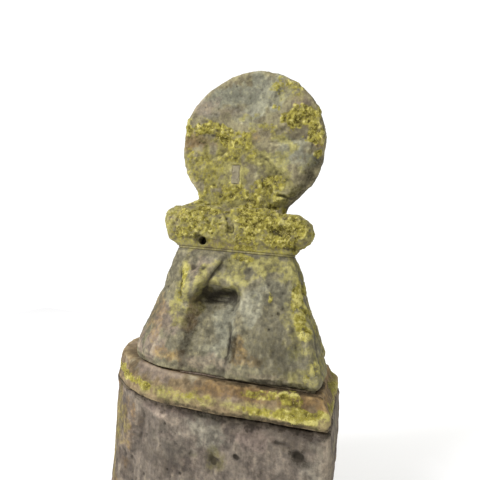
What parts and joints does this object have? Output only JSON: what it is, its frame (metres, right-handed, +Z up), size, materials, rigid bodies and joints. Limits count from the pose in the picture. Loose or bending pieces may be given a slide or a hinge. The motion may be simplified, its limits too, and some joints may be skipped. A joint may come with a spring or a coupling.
{
  "type": "garden sundial",
  "caption": "Weathered stone garden sundial: round dial stone on a scrolled capital, flared bell stone, ledge and die, pinned by leaded iron dowels.",
  "frame": {"origin": "middle of the die's flat underside, at the bottom of the bounding box", "axes": "+Z is up, the dial's face looks along -Y, +X is to the right seen from the front"},
  "size_m": [0.468, 0.286, 0.8661],
  "materials": {
    "lichened_stone": "weathered sandstone, crusted with yellow lichen",
    "grey_stone": "weathered grey-taupe sandstone, pitted",
    "lime_mortar": "weathered lime mortar",
    "lead": "dull grey dressed lead",
    "wrought_iron": "rusted wrought iron"
  },
  "bodies": {
    "root": {"bell": "grey_stone", "bell_lead_packers": "lead", "bell_mortar_bed": "lime_mortar", "capital": "lichened_stone", "capital_lead_packers": "lead", "capital_mortar_bed": "lime_mortar", "dial_lead_packers": "lead", "dial_mortar_bed": "lime_mortar", "dial_stone": "lichened_stone", "die": "grey_stone", "gnomon_lead": "lead", "gnomon_tang": "wrought_iron", "ledge": "lichened_stone", "ledge_lead_packers": "lead", "ledge_mortar_bed": "lime_mortar", "lower_dowel_lead_left": "lead", "lower_dowel_lead_right": "lead", "lower_dowel_left": "wrought_iron", "lower_dowel_right": "wrought_iron", "upper_dowel": "wrought_iron", "upper_dowel_lead": "lead"}
  },
  "joints": []
}
